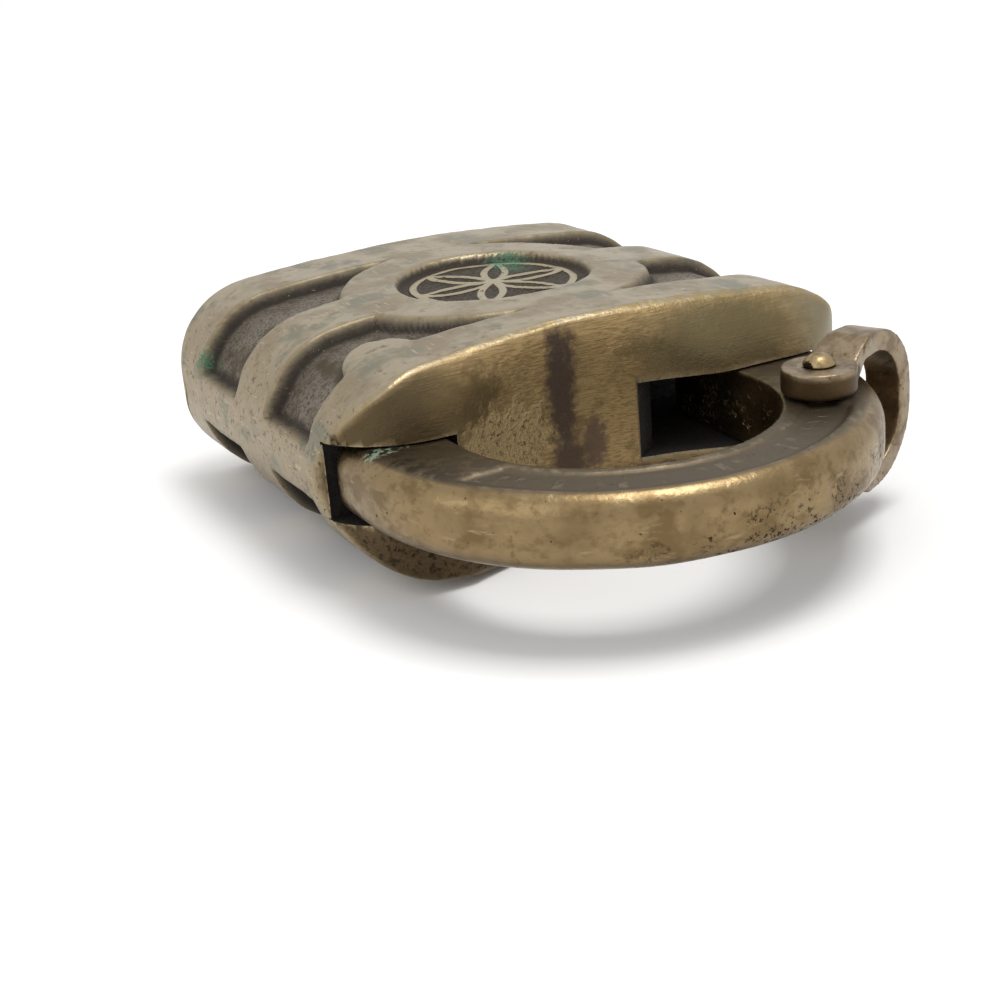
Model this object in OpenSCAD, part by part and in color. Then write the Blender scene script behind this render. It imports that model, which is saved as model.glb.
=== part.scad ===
/* [Case] */
// Width of the case across its two rounded sides
case_w = 70; // [64:1:84]
// Length of the case from the top line to the bottom end
case_len = 56.2; // [50:0.1:68]
// Thickness of the case at the crest of its crowned faces
case_t = 27.5; // [26:0.1:33]
// Radius of the case's rounded sides
side_r = 12.5; // [11.5:0.1:13]
// How blunt the meeting of crown and side is
edge_blunt = 0.2; // [0.15:0.05:0.5]
// Radius of the shoulders beside the shackle
shoulder_r = 11.8; // [9:0.1:14]
// Radius of the two corners at the bottom end
bottom_corner_r = 4; // [3:0.5:8]
// How far the left shoulder rises above the top line
left_rise = 2.1; // [1:0.1:5]
// How far the right shoulder rises above the top line
right_rise = 4; // [1:0.1:6]
// Radius of the shallow dip between the shoulders
saddle_r = 38.8; // [30:0.1:60]
// How far the dip goes below the top line
saddle_drop = 1; // [0:0.1:3]
// Place of the dip's deepest point, left of the middle
saddle_left = 5.1; // [0:0.1:8]
// Width of the flat worn on the crest
crest_flat = 0.1; // [0.05:0.01:0.3]

/* [Panels and medallion] */
// Depth of the recessed panels
panel_depth = 1.8; // [1:0.1:2.2]
// Height of the smooth belt left round the sides
belt_h = 6.8; // [4:0.1:10]
// Width of the band across the middle
band_w = 10.5; // [6:0.1:14]
// Length of each panel along the side
panel_len = 13.3; // [8:0.1:16]
// Distance of the medallion's centre from the top line
medallion_y = 27.8; // [24:0.1:32]
// Radius of the medallion's rim
rim_r = 19.6; // [17:0.1:22]
// Radius of the round recess in the medallion
disc_r = 12.5; // [10:0.1:14]
// Depth of the round recess
disc_depth = 1.5; // [1:0.1:2]
// Radius of the swelling in the band beside the left shoulder
swell_r = 4.6; // [3:0.1:6]
// Distance of that swelling from the left side
swell_in = 10.5; // [8:0.1:12]
// Width of the ornament's raised lines
line_w = 1.1; // [0.6:0.1:2]
// Height of the ornament's raised lines
line_h = 0.8; // [0.4:0.1:1.2]
// Number of petals in the ornament
petals = 6; // [4:1:8]

/* [Shackle] */
// Radius of the bow's outer edge
bow_r = 31.1; // [26:0.1:31.2]
// Radius of the bow's inner edge
eye_r = 18.74; // [15:0.01:20]
// How far the inner edge's centre lies above the outer edge's centre
eye_lift = 3.8; // [2:0.1:6]
// How far the inner edge's centre lies left of the outer edge's centre
eye_left = 1.5; // [0:0.1:2]
// Thickness of the shackle between its flat faces
shackle_t = 8.8; // [6:0.1:8.8]
// Radius of the bow's rounded outer side
bow_edge_r = 3.2; // [2:0.1:4]
// How much narrower the toe is inside the case, on its outer side
toe_step = 2.7; // [2:0.1:4]
// Depth of the toe below the top line
toe_depth = 13; // [11:0.1:16]
// Depth of the notch that the bolt enters
notch_depth = 3.8; // [2:0.1:5]
// Width of the sunk band along the bow's faces
groove_w = 5; // [3:0.1:6]
// Depth of the sunk band
groove_depth = 0.4; // [0.2:0.1:0.6]

/* [Hinge] */
// Radius of the hinge pin
pin_r = 2.5; // [1.5:0.1:3]
// Distance of the hinge from the middle of the case
hinge_x = 21; // [19:0.1:23]
// Depth of the hinge below the top line
hinge_y = 9; // [8:0.1:10]
// Gap between the shackle's faces and its slots
slot_gap = 0.2; // [0.1:0.05:0.5]
// Running clearance between a pin and its hole
run_gap = 0.05; // [0.02:0.01:0.1]
// Clearance between a fixed pin and its hole
seat_gap = 0.02; // [0.01:0.01:0.05]

/* [Chain bail] */
// Thickness of the bail's strap
strap_t = 2.6; // [1.8:0.1:3.2]
// Half width of the strap at its bends
strap_half_w = 2.4; // [1.5:0.1:2.6]
// Half width of the strap where it leaves the round ends
strap_root_w = 3.4; // [2.6:0.1:3.8]
// Distance from the rivet to where the strap's taper ends
taper_len = 9; // [6:0.5:11]
// Radius of the bail's round ends
bail_end_r = 4.3; // [3.6:0.1:4.6]
// Thickness of the round ends
bail_end_t = 3.1; // [2.6:0.1:4]
// How far the strap stands above the round ends
strap_rise = 1.8; // [1:0.1:2.4]
// Radius of the strap's two bends
bend_r = 8.7; // [6:0.1:8.8]
// Distance from the rivet to the outside of the loop
bail_reach = 17.6; // [16.5:0.1:19]
// Angle of the bail from the case's width
bail_angle = 22; // [10:1:28]
// Distance of the bail's rivet from the middle of the case
bail_x = 16.85; // [14:0.05:18]
// Height of the bail's rivet above the top line
bail_y = 16.4; // [14:0.1:18]
// Radius of the bail's rivet
bail_rivet_r = 1.5; // [1:0.1:2]
// Radius of the rivet's domed heads
bail_head_r = 1.9; // [1.8:0.1:3]

/* [Lock work] */
// Thickness of the lock plate and the cap plate
plate_t = 1.2; // [0.8:0.1:1.6]
// Height inside the case for the lock work
work_h = 16.4; // [15.4:0.1:17]
// Half width of the hollow in the case
hollow_half_w = 21; // [20.5:0.1:21.5]
// Thickness of a lever
lever_t = 1.5; // [1:0.1:1.6]
// Spacing of the levers along their post
lever_pitch = 2.1; // [1.9:0.1:2.1]
// How far the bolt slides
bolt_travel = 4.2; // [3:0.1:4.2]
// Width and length of the bolt's square stump
stump_w = 2; // [1.5:0.1:2]
// Radius that the key's bit sweeps
key_r = 4.2; // [3:0.1:4.4]
// Radius of the key's post
key_post_r = 1.2; // [0.8:0.1:1.4]
// Radius of the lever's post
lever_post_r = 2; // [1.5:0.1:2.4]

/* [Back] */
// Radius of the round part of the keyhole
keyhole_r = 2.2; // [1.8:0.1:2.5]
// Width of the keyhole's slot
keyhole_slot = 2; // [1.5:0.1:2.5]
// Thickness of the keyhole cover
cover_t = 0.9; // [0.6:0.1:1.1]
// Thickness of the plate that closes the bottom end
bottom_t = 1.8; // [1.2:0.1:2.4]

/* [Hidden] */
$fn = 96;
over = 1;                                   // how far a cut runs past what it cuts
lap = 0.01;                                 // overlap of shapes that are joined
half_w = case_w / 2;
half_t = case_t / 2;
far = case_len + bow_r + case_w;            // longer than anything in the model
brass = "#8f8266";
dark_brass = "#6f6246";
steel = "#7d7a72";

// The case's section: two wide crown arcs that meet two round sides at a blunt edge.
arc_x = half_w - side_r;
crown_r = (arc_x * arc_x + half_t * half_t - side_r * side_r) / (2 * (half_t - side_r));
crown_drop = crown_r - half_t;
side_x = arc_x - edge_blunt;

// The slots for the shackle's two legs.
slot_h = shackle_t + 2 * slot_gap;
knuckle_r = 5.4;
heel_r = 8.6;                               // sweep of the leg's heel when the shackle is open
hinge_floor = hinge_y + heel_r;
mouth_x = 3.4;
neck_x = hinge_x - 10.5;                    // the slot's narrower part, above its heel
heel_x = hinge_x - 7;
wall = 3;                                   // least wall between the slots and the hollow

// The bow: an outer and an inner circle that are not concentric.
bow_x = -2.1;
bow_y = -1.8;
eye_x = bow_x - eye_left;
eye_y = bow_y - eye_lift;

// The toe and its slot. Below the waist both are narrower, clear of the panels.
toe_waist = 6;
toe_out = bow_r - bow_x;
toe_in = eye_r - eye_x + 0.5;
toe_low = toe_out - toe_step;
toe_bevel = 2;
toe_slot_out = toe_out + 0.9;
toe_slot_in = toe_in - 1.6;
toe_slot_floor = toe_depth + 1.5;
groove_r = (bow_r + eye_r) / 2 - 0.6;
groove_y = bow_y - eye_lift / 2;

// The frame's origin lies under the middle of the whole lock, on its rear flat.
shift_y = (case_len + bow_y - bow_r) / 2;

// The lock work, stacked along the thickness.
work_top = work_h / 2;
plate_z = work_top - plate_t;
work_y = hinge_floor + wall + 1;
work_end = case_len - bottom_t;
plate_half_w = hollow_half_w - 0.2;
lever_top = 3.8;
bolt_plate_lo = 4.2;
bolt_plate_hi = 6.8;
gap = 0.3;                                  // seat gap between pieces that rest on one another
bolt_gap = 0.2;                             // clearance round the bolt where it slides in the case

// The bolt, its notch in the toe and the stump that passes the levers.
nose_y = 5.2;
nose_w = 4;
nose_h = 6;
nose_tip = -toe_slot_in;
nose_root = -6;
bolt_back = 4;
bolt_shoulder = -13.5;
stump_x = -7.5;
stump_y = 18;
bolt_end_y = 23.6;
talon_w = 4.4;
talon_y = medallion_y - key_r - 1.6;
chamber_x = wall + bolt_gap - toe_slot_in;
chamber_end = bolt_back + 0.5;

// The levers' pivot, lift and the pockets that the stump lies in.
pivot_x = 14.5;
pivot_y = 27;
lift_deg = 5;
boss_r = 3.6;
fit = 0.15;                                 // clearance round the stump
arm_x = 3;                                  // where the arm leaves the lever's head
arm_y = pivot_y - boss_r - 0.6;
head_x1 = -5;
lift_in = (abs(stump_x - pivot_x) + bolt_travel) * sin(lift_deg);
lift_side = (pivot_y - stump_y) * sin(lift_deg);
gate_lo = stump_y - stump_w / 2 - fit;
gate_hi = stump_y + stump_w / 2 + fit;
pocket_hi = gate_hi + lift_in + fit;
front_x0 = stump_x - stump_w / 2 - lift_side - fit;
front_x1 = stump_x + stump_w / 2 + 2 * fit;
rear_x1 = front_x0 - 0.9;
rear_x0 = rear_x1 - stump_w - lift_side - 3 * fit;
rear_dip = 1.2;
rim_w = 2.2;                                // least width of metal round the pockets
head_x0 = rear_x0 - rim_w;
head_y0 = gate_lo - rear_dip - rim_w / 2;
head_y1 = pocket_hi + rim_w;
chamber_y = head_y0 - 3.2;
stop_x = -12;
stop_r = 1.1;
stop_y = head_y1 + gap + stop_r;
stop_spigot_r = 0.7;
pillar_r = 1.5;
spigot_r = 1;
pillars = [[-18.5, 27], [-18.5, 50.5], [18.5, 50.5], [18.6, 33.4]];

block_x = 17.8;
block_len = 2.8;
leaf_t = 0.35;
leaf_half_w = 0.5;
leaf_x = pivot_x - 1;                       // where the leaf bends towards the lever
leaf_y = pivot_y - boss_r - 0.5;
lever_low = lever_top - 3 * lever_pitch - lever_t;

// The bottom plate, its rivets, the hinge pin's blind end and the strap's inside.
rivet_x = hollow_half_w + 3.2;
rivet_r = 1.1;
rivet_len = 8;
bottom_half_w = rivet_x + 2.7;
bottom_inset = 2.6;
pin_start = 2.2 - half_t;
pin_end = 9;
end_in = shackle_t / 2 + slot_gap;
end_out = end_in + bail_end_t;
strap_out = end_out + strap_rise;
strap_in = strap_out - strap_t;
head_h = 1.3;
end_lap = 1;                                // how far the strap runs in over the round end
groove_start = 14;
groove_end = 16.5;

// The back's keyhole, its swinging cover and its rivet.
back_z = -half_t + disc_depth;
cover_pivot = medallion_y - 10;
cover_len = 11.2;
cover_end_r = 3.7;
cover_hub_r = 2;
cover_rivet_r = 0.9;
cover_head_r = 1.6;
cover_hole_end = -work_top - 0.6;
keyhole_len = 4;

module in_frame() { translate([0, -shift_y, half_t - crest_flat]) children(); }

// A bar between two planes across the thickness, drawn in plan.
module bar(z0, z1) { translate([0, 0, z0]) linear_extrude(z1 - z0) children(); }

module at(x, y, z = 0) { translate([x, y, z]) children(); }

module pin(x, y, z0, z1, r) { at(x, y, z0) cylinder(h = z1 - z0, r = r); }

// --- case -------------------------------------------------------------------------------------

module section(inset = 0) {
    intersection() {
        at(0, -crown_drop) circle(r = crown_r - inset, $fn = 720);
        at(0, crown_drop) circle(r = crown_r - inset, $fn = 720);
        union() {
            square([2 * side_x, 2 * case_t], center = true);
            for (s = [-1, 1]) at(s * side_x, 0) circle(r = half_w - side_x - inset);
        }
    }
}

module crowned(inset = 0) {
    translate([0, case_len, 0]) rotate([90, 0, 0]) linear_extrude(case_len + 2 * shoulder_r) section(inset);
}

// Plan of one half of the case, from its shoulder to its bottom corner.
module half_plan(rise) {
    shoulder_x = half_w - shoulder_r;
    corner_x = half_w - bottom_corner_r;
    at(0, -rise) square([shoulder_x, case_len + rise]);
    at(0, shoulder_r - rise) square([half_w, case_len - shoulder_r + rise - bottom_corner_r]);
    at(0, case_len - bottom_corner_r - over) square([corner_x, bottom_corner_r + over]);
    at(shoulder_x, shoulder_r - rise) circle(r = shoulder_r);
    at(corner_x, case_len - bottom_corner_r) circle(r = bottom_corner_r);
}

module case_plan() {
    difference() {
        union() {
            half_plan(right_rise);
            mirror([1, 0]) half_plan(left_rise);
        }
        at(-saddle_left, saddle_drop - saddle_r) circle(r = saddle_r, $fn = 360);
    }
}

// Plan of the four panels of one face: they run out past the sides and stop at the rim.
module panel_plan() {
    y_mid = medallion_y - band_w / 2;
    difference() {
        for (s = [-1, 1], y = [y_mid - panel_len, y_mid + band_w])
            at(s * half_w, y + panel_len / 2) square([case_w, panel_len], center = true);
        at(0, medallion_y) circle(r = rim_r);
        at(swell_in - half_w, y_mid - panel_len) circle(r = swell_r);
    }
}

module panels() {
    for (s = [0, 1]) mirror([0, 0, s]) difference() {
        bar(belt_h / 2, half_t + over) panel_plan();
        crowned(panel_depth);
    }
}

// Six rings of one radius through one point draw the petals, inside a seventh ring.
module ornament_plan() {
    petal_r = disc_r - 2 * line_w;
    intersection() {
        for (i = [0 : petals - 1]) rotate(360 / petals * i) at(petal_r, 0) difference() {
            circle(r = petal_r + line_w / 2);
            circle(r = petal_r - line_w / 2);
        }
        circle(r = petal_r);
    }
    difference() {
        circle(r = petal_r + line_w / 2);
        circle(r = petal_r - line_w / 2);
    }
}

module toe_slot() {
    bar(-slot_h / 2, slot_h / 2) polygon([[-toe_slot_out, -over - left_rise], [-toe_slot_out, toe_waist],
        [-toe_slot_out + toe_step, toe_waist], [-toe_slot_out + toe_step, toe_slot_floor],
        [-toe_slot_in, toe_slot_floor], [-toe_slot_in, -over - left_rise]]);
}

// The hinge's slot is open to the right side and narrows below its mouth.
module hinge_slot() {
    bar(-slot_h / 2, slot_h / 2) polygon([[mouth_x, -far / 4], [mouth_x, 0], [mouth_x + 3, 2],
        [neck_x - 1.6, hinge_y - 2], [neck_x, hinge_floor - 4], [heel_x, hinge_floor],
        [half_w + over, hinge_floor], [half_w + over, -far / 4]]);
}

module hollow() {
    at(-hollow_half_w, work_y, -work_top) cube([2 * hollow_half_w, case_len - work_y + over, work_h]);
    at(chamber_x, nose_y - gap, -nose_h / 2 - bolt_gap)
        cube([chamber_end - chamber_x, work_y, nose_h / 2 + bolt_gap + plate_z]);
    at(chamber_x, chamber_y, -plate_z) cube([chamber_end - chamber_x, work_y, 2 * plate_z]);
    at(nose_tip - over, nose_y - bolt_gap, -nose_h / 2 - bolt_gap)
        cube([chamber_x - nose_tip + 2 * over, nose_w + 2 * bolt_gap, nose_h + 2 * bolt_gap]);
}

module keyhole_plan() {
    at(0, medallion_y) circle(r = keyhole_r);
    at(-keyhole_slot / 2, medallion_y) square([keyhole_slot, keyhole_len]);
}

module bottom_plan(play = 0) {
    intersection() {
        section(bottom_inset - play);
        square([2 * (bottom_half_w + play), case_t], center = true);
    }
}

module body() {
    color(brass) in_frame() difference() {
        union() {
            difference() {
                intersection() {
                    crowned();
                    bar(-half_t + crest_flat, half_t - crest_flat) case_plan();
                }
                panels();
                for (s = [0, 1]) mirror([0, 0, s])
                    pin(0, medallion_y, half_t - disc_depth, half_t + over, disc_r);
            }
            at(0, medallion_y) bar(half_t - disc_depth - lap, half_t - disc_depth + line_h) ornament_plan();
        }
        toe_slot();
        hinge_slot();
        hollow();
        translate([0, case_len + over, 0]) rotate([90, 0, 0]) linear_extrude(bottom_t + over)
            bottom_plan(run_gap);
        bar(-half_t, -work_top + over) keyhole_plan();
        pin(hinge_x, hinge_y, -half_t - over, pin_end, pin_r + seat_gap);
        pin(0, cover_pivot, -half_t, cover_hole_end, cover_rivet_r + seat_gap);
        for (s = [-1, 1]) at(s * rivet_x, case_len + over, 0) rotate([90, 0, 0])
            cylinder(h = rivet_len + over, r = rivet_r + seat_gap);
    }
}

module bottom_plate() {
    color(dark_brass) in_frame() difference() {
        translate([0, case_len, 0]) rotate([90, 0, 0]) linear_extrude(bottom_t) bottom_plan();
        for (s = [-1, 1]) at(s * rivet_x, case_len + over, 0) rotate([90, 0, 0])
            cylinder(h = bottom_t + 2 * over, r = rivet_r + seat_gap);
    }
}

module bottom_plate_rivets() {
    color(brass) in_frame() for (s = [-1, 1]) at(s * rivet_x, case_len, 0) rotate([90, 0, 0])
        cylinder(h = rivet_len - gap, r = rivet_r);
}

// --- shackle ----------------------------------------------------------------------------------

module bow_plan() {
    difference() {
        at(bow_x, bow_y) circle(r = bow_r, $fn = 360);
        at(eye_x, eye_y) circle(r = eye_r, $fn = 360);
        at(eye_x - eye_r, eye_y) square([2 * eye_r, far]);
        at(-far / 2, bow_y) square([far, far]);
    }
}

module leg_plans() {
    polygon([[bow_x - bow_r, bow_y - lap], [eye_x - eye_r, bow_y - lap], [-toe_in, 1],
        [-toe_in, toe_depth - toe_bevel], [-toe_in - toe_bevel, toe_depth],
        [-toe_low + toe_bevel, toe_depth], [-toe_low, toe_depth - toe_bevel],
        [-toe_low, toe_waist - 0.4], [-toe_out, toe_waist - 1.4]]);
    polygon([[eye_x + eye_r, bow_y - lap], [bow_x + bow_r, bow_y - lap],
        [hinge_x + knuckle_r, hinge_y], [hinge_x - knuckle_r, hinge_y]]);
    at(hinge_x, hinge_y) circle(r = knuckle_r);
}

// A round-edged disc as thick as the shackle, carried on downwards for the legs.
module edge_form() {
    at(bow_x, bow_y) rotate_extrude() edge_profile();
    at(bow_x, bow_y + far / 2) rotate([90, 0, 0]) linear_extrude(far / 2) {
        edge_profile();
        mirror([1, 0]) edge_profile();
    }
}

module edge_profile() {
    corner = shackle_t / 2 - bow_edge_r;
    translate([0, -shackle_t / 2]) square([bow_r - bow_edge_r, shackle_t]);
    translate([0, -corner]) square([bow_r, 2 * corner]);
    for (s = [-1, 1]) translate([bow_r - bow_edge_r, s * corner]) circle(r = bow_edge_r);
}

module groove() {
    for (s = [0, 1]) mirror([0, 0, s]) bar(shackle_t / 2 - groove_depth, shackle_t / 2 + over)
        intersection() {
            at((bow_x + eye_x) / 2, groove_y) difference() {
                circle(r = groove_r + groove_w / 2, $fn = 360);
                circle(r = groove_r - groove_w / 2, $fn = 360);
            }
            at(-far / 2, -far - groove_start) square([far / 2 + groove_end, far]);
        }
}

module shackle() {
    color(brass) in_frame() difference() {
        intersection() {
            bar(-shackle_t / 2, shackle_t / 2) {
                bow_plan();
                leg_plans();
            }
            edge_form();
        }
        groove();
        at(-toe_in - notch_depth, nose_y - gap, -shackle_t)
            cube([notch_depth + over, nose_w + 2 * gap, 2 * shackle_t]);
        pin(hinge_x, hinge_y, -shackle_t, shackle_t, pin_r + run_gap);
        pin(bail_x, -bail_y, -shackle_t, shackle_t, bail_rivet_r + seat_gap);
    }
}

module hinge_pin() { color(steel) in_frame() pin(hinge_x, hinge_y, pin_start, pin_end - gap, pin_r); }

// --- chain bail -------------------------------------------------------------------------------

// The bail in side view: two thick round ends and a thinner strap with two bends.
module loop_half(h, reach, r) {
    square([reach - r, h]);
    square([reach, h - r]);
    at(reach - r, h - r) intersection() {
        circle(r = r);
        square(r);
    }
}

module bail_profile() {
    foot = bail_end_r - end_lap;
    difference() {
        union() {
            translate([foot, 0]) loop_half(strap_out, bail_reach - foot, bend_r);
            translate([-bail_end_r - over, 0]) square([bail_end_r + over + foot + lap, end_out]);
        }
        translate([-bail_end_r - 2 * over, -over]) square([bail_end_r + 2 * over + foot, end_in + over]);
        translate([foot, -over]) square([strap_t, end_in + over]);
        polygon([[foot - over, end_out], [foot + 2 * strap_rise, strap_out],
            [foot + 2 * strap_rise, strap_out + over], [foot - over, strap_out + over]]);
        polygon([[foot - lap, -over], [foot - lap, end_in],
            [foot + strap_t, strap_in], [foot + strap_t, -over]]);
        translate([foot + strap_t, 0])
            loop_half(strap_in, bail_reach - foot - 2 * strap_t, bend_r - strap_t);
        translate([foot + strap_t, -over]) square([bail_reach - foot - 2 * strap_t, 2 * over]);
    }
}

module bail() {
    color(brass) in_frame() at(bail_x, -bail_y) rotate([0, 0, bail_angle]) difference() {
        intersection() {
            for (s = [0, 1]) mirror([0, 0, s])
                rotate([90, 0, 0]) translate([0, 0, -bail_end_r])
                    linear_extrude(2 * bail_end_r) bail_profile();
            bar(-strap_out - over, strap_out + over) {
                circle(r = bail_end_r);
                polygon([[0, -strap_root_w], [taper_len, -strap_half_w], [bail_reach + over, -strap_half_w],
                    [bail_reach + over, strap_half_w], [taper_len, strap_half_w], [0, strap_root_w]]);
            }
        }
        pin(0, 0, -half_t, half_t, bail_rivet_r + run_gap);
    }
}

// A low dome of radius r and height h that stands on z = 0.
module dome(r, h) {
    round_r = (r * r + h * h) / (2 * h);
    intersection() {
        translate([0, 0, h - round_r]) sphere(r = round_r);
        cylinder(h = h, r = r + over);
    }
}

module bail_rivet() {
    head_z = end_out + run_gap;
    color(brass) in_frame() at(bail_x, -bail_y) {
        translate([0, 0, -head_z]) cylinder(h = 2 * head_z, r = bail_rivet_r);
        for (s = [0, 1]) mirror([0, 0, s]) translate([0, 0, head_z]) dome(bail_head_r, head_h);
    }
}

// --- back -------------------------------------------------------------------------------------

module keyhole_cover() {
    color(brass) in_frame() difference() {
        at(0, cover_pivot) bar(back_z - run_gap - cover_t, back_z - run_gap) {
            circle(r = cover_hub_r);
            translate([0, cover_len]) circle(r = cover_end_r);
            polygon([[-cover_hub_r, 0], [cover_hub_r, 0],
                [cover_end_r, cover_len], [-cover_end_r, cover_len]]);
        }
        pin(0, cover_pivot, -half_t, 0, cover_rivet_r + run_gap);
    }
}

module cover_rivet() {
    color(steel) in_frame() {
        pin(0, cover_pivot, back_z - 2 * run_gap - cover_t, cover_hole_end - gap, cover_rivet_r);
        at(0, cover_pivot, back_z - 2 * run_gap - cover_t) mirror([0, 0, 1]) dome(cover_head_r, gap);
    }
}

// --- lock work --------------------------------------------------------------------------------

module plate_plan() {
    difference() {
        translate([-plate_half_w, work_y + gap]) square([2 * plate_half_w, work_end - work_y - 2 * gap]);
        for (p = pillars) at(p[0], p[1]) circle(r = spigot_r + seat_gap);
        at(stop_x, stop_y) circle(r = stop_spigot_r + seat_gap);
        at(pivot_x, pivot_y) circle(r = spigot_r + seat_gap);
    }
}

module lock_plate() {
    color(steel) in_frame() difference() {
        bar(plate_z, work_top) plate_plan();
        pin(0, medallion_y, 0, half_t, key_post_r + seat_gap);
    }
}

module cap_plate() {
    color(steel) in_frame() difference() {
        bar(-work_top, -plate_z) plate_plan();
        bar(-half_t, 0) keyhole_plan();
    }
}

// A post between the plates, with a thinner spigot through each plate.
module post(x, y, r, spigot) {
    pin(x, y, -plate_z, plate_z, r);
    pin(x, y, -work_top, work_top, spigot);
}

module plate_pillars() {
    color(steel) in_frame() {
        for (p = pillars) post(p[0], p[1], pillar_r, spigot_r);
        post(stop_x, stop_y, stop_r, stop_spigot_r);
    }
}

module lever_post() { color(steel) in_frame() post(pivot_x, pivot_y, lever_post_r, spigot_r); }

module key_post() { color(steel) in_frame() pin(0, medallion_y, -work_top - 2, work_top, key_post_r); }

// The bolt: a nose that enters the toe, a plate beside the levers and a stump through them.
module bolt() {
    color(dark_brass) in_frame() {
        at(nose_tip, nose_y, -nose_h / 2) cube([nose_root - nose_tip, nose_w, nose_h]);
        at(bolt_shoulder, nose_y, 0) cube([nose_root - bolt_shoulder, nose_w, bolt_plate_hi]);
        bar(bolt_plate_lo, bolt_plate_hi) difference() {
            translate([bolt_shoulder, nose_y]) square([bolt_back - bolt_shoulder, bolt_end_y - nose_y]);
            translate([-talon_w / 2, talon_y]) square([talon_w, bolt_end_y]);
        }
        at(stump_x - stump_w / 2, stump_y - stump_w / 2, lever_low - gap)
            cube([stump_w, stump_w, bolt_plate_hi - lever_low + gap]);
    }
}

module lever_plan() {
    difference() {
        union() {
            at(pivot_x, pivot_y) circle(r = boss_r);
            translate([head_x0, head_y0]) square([head_x1 + over - head_x0, head_y1 - head_y0]);
            polygon([[head_x1, head_y0], [arm_x, arm_y], [pivot_x, pivot_y - boss_r],
                [pivot_x, pivot_y + boss_r], [arm_x + 2, pivot_y - 1], [arm_x, head_y1 + over],
                [head_x1, head_y1]]);
        }
        at(pivot_x, pivot_y) circle(r = lever_post_r + run_gap);
        at(0, medallion_y) circle(r = key_r);
        translate([front_x0, gate_lo]) square([front_x1 - front_x0, pocket_hi - gate_lo]);
        translate([rear_x0, gate_lo - rear_dip])
            square([rear_x1 - rear_x0, pocket_hi - gate_lo + rear_dip]);
        translate([rear_x0, gate_lo]) square([front_x1 - rear_x0, gate_hi - gate_lo]);
    }
}

module lever(i) {
    top = lever_top - (i - 1) * lever_pitch;
    color(brass) in_frame() bar(top - lever_t, top) lever_plan();
}

// A leaf spring from the block to the upper edge of one lever.
module lever_spring(i) {
    mid = lever_top - (i - 1) * lever_pitch - lever_t / 2;
    tip_y = arm_y - fit;
    color(steel) in_frame() bar(mid - leaf_half_w, mid + leaf_half_w)
        polygon([[block_x, leaf_y], [leaf_x, leaf_y], [arm_x, tip_y], [arm_x, tip_y - leaf_t],
            [leaf_x, leaf_y - leaf_t], [block_x, leaf_y - leaf_t]]);
}

module spring_block() {
    color(dark_brass) in_frame()
        at(block_x, work_y + gap, -plate_z) cube([plate_half_w - block_x, block_len, 2 * plate_z]);
}

body();
bottom_plate();
bottom_plate_rivets();
shackle();
hinge_pin();
bail();
bail_rivet();
keyhole_cover();
cover_rivet();
lock_plate();
cap_plate();
plate_pillars();
lever_post();
key_post();
bolt();
spring_block();
lever(1);  // lever_1
lever(2);  // lever_2
lever(3);  // lever_3
lever(4);  // lever_4
lever_spring(1);  // lever_spring_1
lever_spring(2);  // lever_spring_2
lever_spring(3);  // lever_spring_3
lever_spring(4);  // lever_spring_4
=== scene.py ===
import bpy
import bmesh
import math
import numpy as np
from mathutils import Matrix, Vector


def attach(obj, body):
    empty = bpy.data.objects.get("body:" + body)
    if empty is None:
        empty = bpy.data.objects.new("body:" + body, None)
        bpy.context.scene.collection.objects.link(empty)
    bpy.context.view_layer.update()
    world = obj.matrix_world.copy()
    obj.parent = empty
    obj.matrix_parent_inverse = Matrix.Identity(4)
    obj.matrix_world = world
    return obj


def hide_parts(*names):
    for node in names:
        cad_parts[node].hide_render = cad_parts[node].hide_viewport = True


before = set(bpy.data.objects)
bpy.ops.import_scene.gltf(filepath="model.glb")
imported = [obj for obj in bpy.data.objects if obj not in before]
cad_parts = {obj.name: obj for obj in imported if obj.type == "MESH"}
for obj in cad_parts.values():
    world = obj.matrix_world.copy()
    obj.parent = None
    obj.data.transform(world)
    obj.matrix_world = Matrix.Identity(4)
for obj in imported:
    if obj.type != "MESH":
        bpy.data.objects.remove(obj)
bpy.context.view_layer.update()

# The table, the lamps and the eye.
# The lock lies on its back on white card, in a white room, under one soft lamp overhead and a weaker,
# wider one at its left. The card turns to plain white away from the lock, so that no far edge shows.
MM = 0.001
TOP_LINE = 11.65          # the case's top line lies this far before the frame's middle
MID_PLANE = 13.65         # and its middle plane this far above the table
LOCK_MIDDLE = Vector((0, 0, 0.01))
WHITE = (1, 1, 1, 1)
view_yaw, view_pitch, view_roll = -0.4662, 0.3647, -0.0842
eye = Vector((-93.30, -154.32 - TOP_LINE, 60.81 + MID_PLANE)) * MM
focal_px, frame_px, sensor_mm = 1630.9, 1000.0, 36.0
ahead = Vector((-math.sin(view_yaw) * math.cos(view_pitch), math.cos(view_yaw) * math.cos(view_pitch),
                -math.sin(view_pitch)))
level = Vector((math.cos(view_yaw), math.sin(view_yaw), 0.0))
above = level.cross(ahead)
camera = bpy.data.objects.new("camera", bpy.data.cameras.new("camera"))
bpy.context.scene.collection.objects.link(camera)
camera.data.sensor_width = sensor_mm
camera.data.lens = focal_px / frame_px * sensor_mm
camera.data.clip_start = 0.01
right_dir = level * math.cos(view_roll) + above * math.sin(view_roll)
up_dir = above * math.cos(view_roll) - level * math.sin(view_roll)
camera.matrix_world = Matrix.Translation(eye) @ Matrix((right_dir, up_dir, -ahead)).transposed().to_4x4()
bpy.context.scene.camera = camera
bpy.context.scene.view_settings.view_transform = "Standard"


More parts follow.
